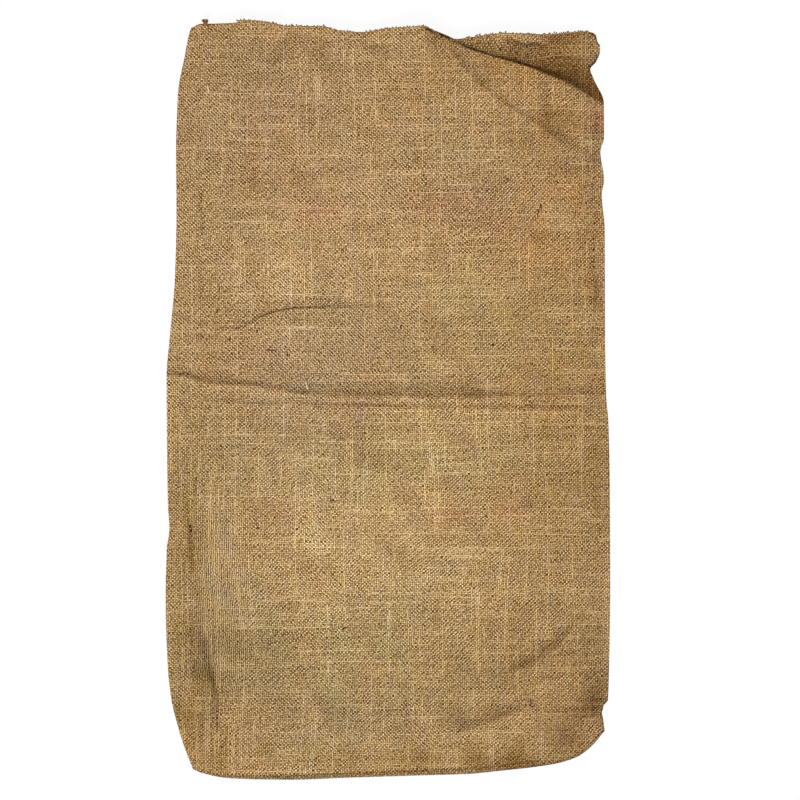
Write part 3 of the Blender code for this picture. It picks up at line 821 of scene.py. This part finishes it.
def make_cloth(material):
    """The sack's one cloth: front layer, outer edge, back layer and the hollow between them."""
    mesh = ClothMesh()
    columns, rows = column_shares(), row_shares()
    coarse_columns, coarse_rows = columns[::COARSENESS], rows[::COARSENESS]
    rounded = (EDGE_ROUNDING, EDGE_ROUNDING, EDGE_ROUNDING)
    stitched = (CLOTH_THICKNESS, SIDE_SEAM_WIDTH, BOTTOM_SEAM_WIDTH)

    # The front layer's upper face
    across, up, weave, tint = front_layer(columns, rows, rounded)
    plain_across, plain_up = outline_grid(columns, rows, *rounded)
    front = mesh.add(across, up, front_height(plain_across, plain_up), weave, tint)
    mesh.sheet(front, picture_grid(FRONT_CHART, columns, rows))

    # The rounded outer edge, down to the back layer, with painted shade darkening it towards its underside
    above = border(front)
    for angle, shade, places in zip(np.radians(RIM_ANGLES), RIM_PAINTED_SHADES, zip(RIM_LINES, RIM_LINES[1:])):
        inset = EDGE_ROUNDING * (1.0 - np.cos(angle))
        across, up, weave, tint = front_layer(columns, rows, (inset, inset, inset))
        height = SEAM_HEIGHT / 2.0 * (1.0 + np.sin(angle))
        rim_weave = [border(part) for part in weave]
        below = mesh.add(border(across), border(up), height, rim_weave, border(tint) * shade)
        mesh.seam(above, below, places)
        above = below

    # The back layer's lower face, on the surface that the sack lies on
    across, up = outline_grid(coarse_columns, coarse_rows, *rounded)
    weave, tint = weave_place(across, up), stain_colour(across, up)
    up = up + back_peek(across, coarse_rows)
    under = mesh.add(across, up, 0.0, weave, tint)
    mesh.sheet(under, picture_grid(UNDER_CHART, coarse_columns, coarse_rows))
    mesh.seam(above, border(under), RIM_LINES[-2:])

    # The hollow: the front layer's lower face, painted darker as painted shade, then the back layer's upper
    # face
    plain_across, plain_up = outline_grid(coarse_columns, coarse_rows, *stitched)
    across, up, weave, tint = front_layer(coarse_columns, coarse_rows, stitched)
    top = front_height(plain_across, plain_up)
    slope_across = front_height(plain_across + 1.0, plain_up) - top
    slope_up = front_height(plain_across, plain_up + 1.0) - top
    steepness = np.sqrt(1.0 + slope_across**2 + slope_up**2)
    height = top - CLOTH_THICKNESS * np.minimum(steepness, SLOPE_LIMIT)
    height[0, :] = height[:, 0] = height[:, -1] = CLOTH_THICKNESS
    hollow = mesh.add(across, up, height, weave, tint * HOLLOW_PAINTED_SHADE)
    mesh.sheet(hollow, picture_grid(HOLLOW_CHART, coarse_columns, coarse_rows))
    tint = stain_colour(across, up)
    inner = (slice(1, None), slice(1, -1))
    plain_up = plain_up + back_peek(plain_across, coarse_rows)
    inner_weave = [part[inner] for part in weave]
    back = mesh.add(plain_across[inner], plain_up[inner], CLOTH_THICKNESS, inner_weave, tint[inner])
    back = np.vstack([hollow[:1, :], np.hstack([hollow[1:, :1], back, hollow[1:, -1:]])])
    mesh.sheet(back, picture_grid(BACK_CHART, coarse_columns, coarse_rows))

    # The cut edges at the mouth
    mesh.seam(front[-1], hollow[-1], FRONT_CUT_LINES)
    mesh.seam(back[-1], under[-1], BACK_CUT_LINES)
    return mesh.make("sack_body", material)


def back_peek(across, rows):
    """How far the back layer's mouth edge reaches past the front layer's, beside the tuck."""
    start, whole, ending, end = BACK_PEEK_ACROSS
    beside = ease((across - start) / (whole - start)) * ease((end - across) / (end - ending))
    return BACK_PEEK * beside * ease((rows[:, None] - 1.0 + BACK_PEEK_ROWS) / BACK_PEEK_ROWS)


class StrandMesh:
    """Collects yarn ends, stitches and threads as thin tubes of one mesh."""

    def __init__(self):
        self.shape = bmesh.new()
        self.along = self.shape.loops.layers.uv.new("strand")

    def tube(self, route, widths, sides=6):
        """A closed round tube through a route of points, with its width at each of them."""
        route = [Vector(point) for point in route]
        rings = []
        travelled = [0.0]
        normal = None
        for place, point in enumerate(route):
            ahead = route[min(place + 1, len(route) - 1)] - route[max(place - 1, 0)]
            ahead.normalize()
            if place:
                travelled.append(travelled[-1] + (point - route[place - 1]).length)
            start = normal if normal is not None else ahead.orthogonal()
            normal = (start - ahead * start.dot(ahead)).normalized()
            other = ahead.cross(normal)
            ring = []
            for side in range(sides):
                angle = 2.0 * np.pi * side / sides
                offset = (normal * np.cos(angle) + other * np.sin(angle)) * (widths[place] / 2.0)
                spot = point + offset
                ring.append(self.shape.verts.new((
                    (spot.x - FRAME_ORIGIN[0]) * MM, (spot.y - FRAME_ORIGIN[1]) * MM, max(spot.z, 0.0) * MM,
                )))
            rings.append(ring)
        for place, (first, second) in enumerate(zip(rings, rings[1:])):
            for side in range(sides):
                turn = (side + 1) % sides
                face = self.shape.faces.new((first[side], first[turn], second[turn], second[side]))
                corners = ((side, place), (side + 1, place), (side + 1, place + 1), (side, place + 1))
                for loop, (around, step) in zip(face.loops, corners):
                    loop[self.along].uv = (around / sides, travelled[step])
        self.shape.faces.new(rings[0][::-1])
        self.shape.faces.new(rings[-1])

    def make(self, name, material):
        data = bpy.data.meshes.new(name)
        bmesh.ops.recalc_face_normals(self.shape, faces=self.shape.faces)
        self.shape.to_mesh(data)
        self.shape.free()
        return place_piece(name, data, material)


def on_front(across, up, above=0.0):
    """A point on the front layer, or as far above it as asked."""
    across, up = np.array(float(across)), np.array(float(up))
    lean_across, lean_up = tuck_lean(across, up)
    return (float(across + lean_across), float(up + lean_up), float(front_height(across, up)) + above)


def make_fray(material):
    """Ends of the warp yarns that stick out of the mouth's cut edges."""
    strands = StrandMesh()
    random = np.random.default_rng(21)
    across = FRAY_START
    while across < FRAY_END:
        up = float(read_smooth(MOUTH_EDGE, across))
        climb = float(read_smooth(MOUTH_EDGE, across + 1.0)) - up
        length = random.choice(FRAY_LENGTHS, p=FRAY_CHANCES) * random.uniform(0.8, 1.2)
        lean = random.normal(0.0, 0.30) - 0.5 * climb
        droop = random.uniform(0.0, 0.5)
        start = on_front(across, up - FRAY_ROOT, SUNK)
        route = []
        for share in (0.0, 0.45, 1.0):
            out = FRAY_ROOT + length * share if share else 0.0
            route.append((start[0] + lean * out * share, start[1] + out, start[2] - droop * out * share))
        width = random.uniform(*FRAY_WIDTHS)
        strands.tube(route, (width, width, width * 0.7))
        across += WARP_PITCH * random.choice((1.0, 1.0, 2.0))
    hook = [on_front(*spot) for spot in CORNER_HOOK]
    strands.tube(hook, [HOOK_WIDTH] * len(hook))
    return strands.make("mouth_fray", material)


def make_stitches(material):
    """The sewing along the right seam and the bottom seam."""
    strands = StrandMesh()
    random = np.random.default_rng(22)
    up = SIDE_STITCH_START
    while up < SIDE_STITCH_END:
        run = SIDE_STITCH_LENGTH * random.uniform(0.8, 1.1)
        route = []
        for share in (0.0, 0.25, 0.75, 1.0):
            at = up + run * share
            line = float(right_edge(at)) - SIDE_STITCH_INSET + random.normal(0.0, 0.15)
            route.append(on_front(line, at, STITCH_RISE if 0.0 < share < 1.0 else SUNK))
        strands.tube(route, (1.2, 1.5, 1.5, 1.2))
        up += run + SIDE_STITCH_GAP
    across = BOTTOM_STITCH_START
    while across < BOTTOM_STITCH_END:
        edge = float(read_smooth(BOTTOM_EDGE, across))
        slant = random.uniform(1.2, 2.4)
        top = edge + BOTTOM_SEAM_WIDTH
        route = (
            on_front(across + slant, top, BOTTOM_STITCH_SUNK),
            on_front(across + slant * 0.8, top - 1.5, STITCH_RISE),
            on_front(across + slant * 0.3, edge + 2.0, 0.35),
            (across, edge + 0.1, 2.0),
            (across - 0.3, edge + 0.3, 0.9),
        )
        strands.tube(route, (1.1, 1.4, 1.4, 1.3, 1.0))
        across += BOTTOM_STITCH_STEP * random.uniform(0.85, 1.2)
    return strands.make("seam_stitches", material)


def make_knot(material):
    """A small knot in a brown thread at the left end of the mouth, and brown threads on the cloth."""
    strands = StrandMesh()
    turns = np.linspace(0.0, 2.0 * np.pi, 40)
    knot = [
        (
            KNOT_ACROSS + KNOT_SIZE * (np.sin(turn) + 2.0 * np.sin(2.0 * turn)) / 3.0,
            KNOT_UP + KNOT_SIZE * 0.95 * (np.cos(turn) - 2.0 * np.cos(2.0 * turn)) / 3.0,
            KNOT_HEIGHT - KNOT_SIZE * 0.45 * np.sin(3.0 * turn),
        )
        for turn in turns
    ]
    strands.tube(knot, [KNOT_THREAD] * len(knot), sides=7)
    tail = [on_front(KNOT_ACROSS + across, KNOT_UP + up, above) for across, up, above in KNOT_TAIL]
    strands.tube((*tail, knot[3]), KNOT_TAIL_WIDTHS)
    for route in BROWN_THREADS:
        strands.tube([on_front(*spot) for spot in route], [BROWN_THREAD_WIDTH] * len(route))
    return strands.make("brown_threads", material)


def make_pale_threads(material):
    """Thick pale bits of yarn that stand out of the weave."""
    strands = StrandMesh()
    for route in PALE_THREADS:
        widths = [PALE_THREAD_ENDS] + [PALE_THREAD_WIDTH] * (len(route) - 2) + [PALE_THREAD_ENDS]
        strands.tube([on_front(*spot) for spot in route], widths)
    return strands.make("pale_slubs", material)


def make_flecks(material):
    """Dark bits of husk that lie in the weave, small holes painted as dark marks, and a painted shadow under
    a thread.
    """
    strands = StrandMesh()
    for fleck in (Fleck(*row) for row in FLECKS):
        turn = np.radians(fleck.turn)
        route = []
        for share in (-0.5, -0.3, 0.0, 0.3, 0.5):
            run = fleck.length * share
            bend = fleck.length * 0.08 * np.cos(share * np.pi)
            across = fleck.across + run * np.cos(turn) - bend * np.sin(turn)
            up = fleck.up + run * np.sin(turn) + bend * np.cos(turn)
            route.append(on_front(across, up, 0.12 - 0.42 * fleck.width / 2.0))
        strands.tube(route, [fleck.width * share for share in (0.35, 0.85, 1.0, 0.85, 0.35)], sides=8)
    return strands.make("dark_flecks", material)


class Value:
    """A number in a material's node graph. Arithmetic on it adds math nodes."""

    def __init__(self, graph, socket):
        self.graph = graph
        self.socket = socket

    def __add__(self, other):
        return self.graph.math("ADD", self, other)

    def __sub__(self, other):
        return self.graph.math("SUBTRACT", self, other)

    def __rsub__(self, other):
        return self.graph.math("SUBTRACT", other, self)

    def __mul__(self, other):
        return self.graph.math("MULTIPLY", self, other)

    def __truediv__(self, other):
        return self.graph.math("DIVIDE", self, other)

    __radd__ = __add__
    __rmul__ = __mul__


class Graph:
    """Builds the node graph of one material. Each call adds a node and returns its output."""

    def __init__(self, name, roughness):
        self.material = bpy.data.materials.new(name)
        self.material.use_nodes = True
        self.tree = self.material.node_tree
        self.surface = self.tree.nodes["Principled BSDF"]
        self.surface.inputs["Roughness"].default_value = roughness
        self.surface.inputs["Specular IOR Level"].default_value = 0.0

    def feed(self, socket, value):
        if isinstance(value, Value):
            self.tree.links.new(value.socket, socket)
        else:
            socket.default_value = value

    def node(self, kind, inputs=(), output=0, **settings):
        node = self.tree.nodes.new(kind)
        for setting, value in settings.items():
            setattr(node, setting, value)
        for name, value in dict(inputs).items():
            self.feed(node.inputs[name], value)
        return Value(self, node.outputs[output])

    def math(self, operation, *values):
        return self.node("ShaderNodeMath", enumerate(values), operation=operation)

    def uv(self, name):
        return self.node("ShaderNodeUVMap", uv_map=name)

    def split(self, vector):
        node = self.tree.nodes.new("ShaderNodeSeparateXYZ")
        self.feed(node.inputs[0], vector)
        return Value(self, node.outputs[0]), Value(self, node.outputs[1])

    def join(self, first, second):
        return self.node("ShaderNodeCombineXYZ", {0: first, 1: second})

    def noise(self, first, second, detail=2.0):
        """Smooth noise from 0 to 1, about one bump for each unit of either coordinate."""
        inputs = {"Vector": self.join(first, second), "Scale": 1.0, "Detail": detail}
        return self.node("ShaderNodeTexNoise", inputs, noise_dimensions="2D")

    def chance(self, first, second):
        """An even random number from 0 to 1 for each pair of whole numbers."""
        inputs = {"Vector": self.join(first, second)}
        return self.node("ShaderNodeTexWhiteNoise", inputs, noise_dimensions="2D")

    def between(self, value, low, high):
        """0 where the value is below low, 1 where it is above high."""
        inputs = {"Value": value, "From Min": low, "From Max": high}
        return self.node("ShaderNodeMapRange", inputs, interpolation_type="SMOOTHSTEP")

    def zone(self, value, start, whole, ending, end):
        """1 from whole to ending, and 0 outside start and end."""
        return self.between(value, start, whole) * (1.0 - self.between(value, ending, end))

    def ramp(self, value, stops):
        """Reads a colour from a table of places and colours."""
        node = self.tree.nodes.new("ShaderNodeValToRGB")
        elements = node.color_ramp.elements
        while len(elements) < len(stops):
            elements.new(0.5)
        for element, (place, colour) in zip(elements, stops):
            element.position = place
            element.color = (*colour, 1.0)
        self.feed(node.inputs[0], value)
        return Value(self, node.outputs[0])

    def tint(self, colour, other):
        """Multiplies a colour by another, channel by channel."""
        inputs = {0: 1.0, 6: colour, 7: other}
        return self.node("ShaderNodeMix", inputs, output=2, data_type="RGBA", blend_type="MULTIPLY")

    def finish(self, colour, height, depth):
        self.feed(self.surface.inputs["Base Color"], colour)
        bump = self.tree.nodes.new("ShaderNodeBump")
        bump.inputs["Distance"].default_value = depth
        bump.inputs["Strength"].default_value = 1.0
        self.feed(bump.inputs["Height"], height)
        self.tree.links.new(bump.outputs[0], self.surface.inputs["Normal"])
        return self.material


def jute_weave():
    """Round yarns that go over and under each other, uneven in width, tone and straightness, with painted
    shade and highlight.
    """
    graph = Graph("jute_weave", roughness=0.9)
    warp_raw, weft_raw = graph.split(graph.uv("weave"))
    warp = warp_raw + graph.noise(warp_raw * 0.4, weft_raw * 0.3) - 0.5
    weft = weft_raw + graph.noise(warp_raw * 0.3 + 71.0, weft_raw * 0.4) - 0.5
    warp_index, weft_index = graph.math("FLOOR", warp), graph.math("FLOOR", weft)
    off_warp = warp - warp_index - 0.5
    off_weft = weft - weft_index - 0.5
    parity = graph.math("MODULO", warp_index + weft_index, 2.0)
    over = 1.0 - 2.0 * parity  # 1 where the warp yarn lies on top, -1 where the weft yarn does

    def along_yarn(index, along, pace, seed, step=YARN_STEP, detail=2.0):
        """Smooth noise from 0 to 1 along each yarn, unlike that of the yarn beside it."""
        return graph.noise(index * step + seed, along * pace, detail)

    def yarn_height(off_side, off_along, slubs, lift, tight):
        """Height of a round uneven yarn, which waves or is tight, or of the gap beside it."""
        width = (YARN_WIDTH + YARN_SLUBS * slubs) * (1.0 - tight * 0.12)
        reach = graph.math("ABSOLUTE", off_side) * 2.0 / width
        round_top = graph.math("SQRT", graph.math("MAXIMUM", 1.0 - reach * reach, 0.0))
        wave = lerp(graph.math("COSINE", off_along * np.pi) * lift, 1.0, tight * 0.7)
        return lerp(GAP_HEIGHT, round_top * 0.5 + wave * 0.5, graph.math("LESS_THAN", reach, 1.0))

    # The zones, and the pale yarns that lie straight on top
    bunched = graph.zone(warp_raw, *BUNCHED_WARPS) * (1.0 - graph.between(weft_raw, *BUNCHED_WEFTS_END))
    ribbed = graph.zone(warp_raw, *RIBBED_WARPS) * graph.zone(weft_raw, *RIBBED_WEFTS)
    pale_warp = along_yarn(warp_index, weft, PALE_PACE, seed=11.0) + bunched * BUNCHED_PALE
    pale_warp = graph.between(pale_warp, *PALE_WARP_FROM)
    pale_column = 0.0
    for column in PALE_WARPS:
        pale_column = graph.math("COMPARE", warp_index, column, 0.5) + pale_column
    pale_column = pale_column * graph.zone(weft_raw, *PALE_WARPS_WEFTS)
    pale_warp = graph.math("MAXIMUM", pale_warp, pale_column)
    pale_weft = graph.between(along_yarn(weft_index, warp, PALE_PACE, seed=23.0), *PALE_WEFT_FROM)

    # The yarns' height, and which one shows
    warp_slubs = along_yarn(warp_index, weft, SLUB_PACE, seed=0.0, step=SLUB_STEP)
    weft_slubs = along_yarn(weft_index, warp, SLUB_PACE, seed=300.0, step=SLUB_STEP)
    warp_height = yarn_height(off_warp, off_weft, warp_slubs, over, pale_warp)
    weft_height = yarn_height(off_weft, off_warp, weft_slubs, over * -1.0, pale_weft)
    height = graph.math("MAXIMUM", warp_height, weft_height)
    warp_on_top = graph.math("GREATER_THAN", warp_height, weft_height)

    # Each yarn's own tone along its length, and its fibres
    warp_tone = along_yarn(warp_index, weft, WARP_TONE_PACE, seed=50.0, detail=3.0)
    weft_tone = along_yarn(weft_index, warp, WEFT_TONE_PACE, seed=90.0, detail=3.0)
    warp_fibre = graph.noise(warp * 5.0, weft * 0.8)
    weft_fibre = graph.noise(warp * 0.8 + 40.0, weft * 5.0)
    warp_tone = (warp_tone - 0.5) * (WARP_TONE + bunched * BUNCHED_TONE)
    tone = lerp((weft_tone - 0.5) * WEFT_TONE, warp_tone, warp_on_top)
    fibre = lerp(weft_fibre, warp_fibre, warp_on_top) - 0.5

    # What varies from patch to patch and from crossing to crossing
    patch = graph.noise(warp_raw * 0.03, weft_raw * 0.03, detail=3.0) - 0.5
    pale_yarn = lerp(pale_weft, pale_warp, warp_on_top)
    crossing = graph.chance(warp_index, weft_index) - 0.5
    right = graph.chance(warp_index + 1.0, weft_index) - 0.5
    above = graph.chance(warp_index, weft_index + 1.0) - 0.5
    corner = graph.chance(warp_index + 1.0, weft_index + 1.0) - 0.5
    chequer = crossing + corner - right - above
    right_side = graph.between(warp_raw, *RIGHT_WARPS_START)
    upper_left = (1.0 - right_side) * graph.between(weft_raw, *UPPER_WEFTS_START)
    # A slanted painted highlight on each float, tilted one way or the other from patch to patch
    highlight_tilt = (graph.noise(warp_raw * 0.04 + 19.0, weft_raw * 0.04, detail=3.0) - 0.5) * HIGHLIGHT_TILT_RANDOM
    highlight_tilt = highlight_tilt + upper_left * HIGHLIGHT_TILT_UPPER_LEFT + right_side * HIGHLIGHT_TILT_RIGHT
    slant = graph.math("SINE", off_warp * np.pi) * graph.math("SINE", off_weft * np.pi) * over * highlight_tilt

    # The height and ribs terms paint shade between and on the yarns, and the slant term paints a highlight
    shade = SHADE_LEVEL + (height - SHADE_HEIGHT_MIDDLE) * SHADE_HEIGHT + tone
    shade = shade + fibre * SHADE_FIBRE + patch * SHADE_PATCH + (warp_on_top - 0.5) * SHADE_WARP
    shade = shade + pale_yarn * SHADE_PALE_YARN + crossing * SHADE_CROSSING + chequer * SHADE_CHEQUER
    shade = shade + slant * SHADE_SLANT + pale_column * warp_on_top * SHADE_PALE_WARPS
    shade = shade + graph.math("COSINE", off_warp * 2.0 * np.pi) * ribbed * SHADE_RIBS
    colour = graph.ramp(shade, JUTE_COLOURS)
    stain = graph.node("ShaderNodeAttribute", output=1, attribute_name="stain")
    colour = graph.tint(colour, stain)
    hue = graph.noise(warp_raw * 0.022 + 7.0, weft_raw * 0.022, detail=2.0)
    colour = graph.tint(colour, graph.ramp(hue, HUE_TINTS))
    return graph.finish(colour, height, WEAVE_DEPTH)


def strand_material(name):
    """Twisted fibre along a yarn or thread, from its dark to its pale colour."""
    dark, pale = STRAND_COLOURS[name]
    graph = Graph(name, roughness=0.9)
    around, along = graph.split(graph.uv("strand"))
    twist = around + along * 0.25
    fibre = graph.noise(graph.math("SINE", twist * 2.0 * np.pi) * 2.0, along * 0.5, detail=3.0)
    plies = graph.math("SINE", twist * 4.0 * np.pi) * 0.5 + 0.5
    # The plies are painted lighter on their crests and darker between them, painted shade that follows the
    # bump
    shade = fibre * 0.7 + plies * 0.4 - 0.05
    colour = graph.ramp(shade, ((0.1, dark), (0.9, pale)))
    return graph.finish(colour, plies, STRAND_DEPTH)


def make_floor():
    bpy.ops.mesh.primitive_plane_add(size=FLOOR_SIZE, location=(0.0, 0.0, 0.0))
    floor = bpy.context.object
    floor.name = "floor"
    graph = Graph("floor", roughness=1.0)
    graph.surface.inputs["Base Color"].default_value = (FLOOR_GREY, FLOOR_GREY, FLOOR_GREY, 1.0)
    graph.surface.inputs["Emission Color"].default_value = (1.0, 1.0, 1.0, 1.0)
    graph.surface.inputs["Emission Strength"].default_value = FLOOR_GLOW
    floor.data.materials.append(graph.material)


def make_light():
    sun = bpy.data.lights.new("key", "SUN")
    sun.energy = KEY_STRENGTH
    sun.angle = KEY_SPREAD
    lamp = bpy.data.objects.new("key", sun)
    lamp.rotation_euler = Vector(KEY_DIRECTION).to_track_quat("Z", "Y").to_euler()
    bpy.context.scene.collection.objects.link(lamp)
    world = bpy.data.worlds.new("studio")
    world.use_nodes = True
    background = world.node_tree.nodes["Background"]
    background.inputs["Color"].default_value = (1.0, 1.0, 1.0, 1.0)
    background.inputs["Strength"].default_value = AMBIENT_STRENGTH
    bpy.context.scene.world = world


def make_camera():
    data = bpy.data.cameras.new("camera")
    data.lens = CAMERA_LENS
    data.sensor_width = CAMERA_SENSOR
    camera = bpy.data.objects.new("camera", data)
    camera.location = CAMERA_PLACE
    bpy.context.scene.collection.objects.link(camera)
    bpy.context.scene.camera = camera


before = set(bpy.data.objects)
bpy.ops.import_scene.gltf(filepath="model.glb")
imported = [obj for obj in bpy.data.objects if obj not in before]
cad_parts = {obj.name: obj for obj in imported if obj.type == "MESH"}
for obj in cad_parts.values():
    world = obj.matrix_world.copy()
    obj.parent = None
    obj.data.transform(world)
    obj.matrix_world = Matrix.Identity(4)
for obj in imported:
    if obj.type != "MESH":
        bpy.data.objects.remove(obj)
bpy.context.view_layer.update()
bpy.context.scene.view_settings.view_transform = "Standard"
make_camera()
make_floor()
make_light()
cloth = make_cloth(jute_weave())
details = (
    make_fray(strand_material("jute_yarn")),
    make_stitches(strand_material("seam_thread")),
    make_knot(strand_material("brown_thread")),
    make_pale_threads(strand_material("pale_slub")),
    make_flecks(strand_material("husk_and_shade")),
)
for piece in (cloth, *details):
    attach(piece, "root")
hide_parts("sack_cloth")
